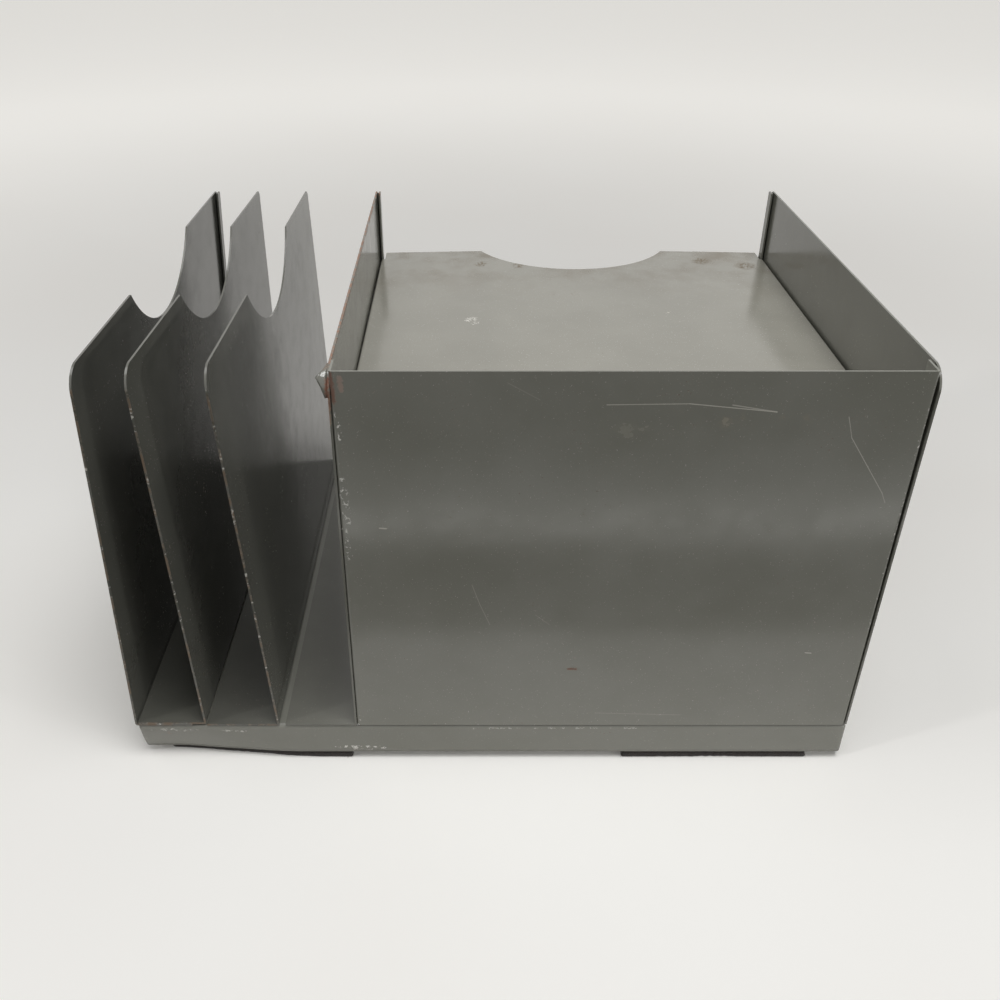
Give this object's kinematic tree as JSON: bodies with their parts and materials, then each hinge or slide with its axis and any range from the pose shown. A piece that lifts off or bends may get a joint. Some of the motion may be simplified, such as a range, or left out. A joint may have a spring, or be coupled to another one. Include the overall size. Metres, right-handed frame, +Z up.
{
  "type": "envelope sorter with drawer",
  "caption": "Folded sheet-steel desk sorter: upright envelope bays beside a box with an open top tray, a paper shelf and a sliding drawer, on a shallow base pan with felt feet.",
  "frame": {"origin": "on the desk top, at the middle of the object's outline seen from above", "axes": "+Z up, +X from the envelope bays towards the box, +Y towards the open side of the trays and drawer, so the plain panel faces -Y"},
  "size_m": [0.3742, 0.2974, 0.2272],
  "materials": {
    "enamel": "semi-gloss baked grey enamel, worn at the edges",
    "bright_steel": "dulled nickel-plated steel",
    "felt": "dense black-brown wool felt"
  },
  "bodies": {
    "case": {"base_pan": "enamel", "felt_near_left": "felt", "felt_near_right": "felt", "felt_far_left": "felt", "felt_far_right": "felt", "end_wall": "enamel", "bay_sheet_1": "enamel", "bay_sheet_2": "enamel", "floor_plate": "enamel", "left_wall": "enamel", "right_wall": "enamel", "near_panel": "enamel", "top_tray": "enamel", "paper_shelf": "enamel", "left_runner": "enamel", "right_runner": "enamel", "drawer_stop": "enamel"},
    "drawer": {"drawer_tray": "enamel", "drawer_side_left": "enamel", "drawer_side_right": "enamel", "drawer_front": "enamel", "drawer_pull": "bright_steel", "pull_rivets": "bright_steel"}
  },
  "joints": [
    {"name": "drawer_slide", "type": "slide", "parent": "case", "child": "drawer", "axis": [0, 1, 0], "range_m": [0, 0.2151]}
  ]
}
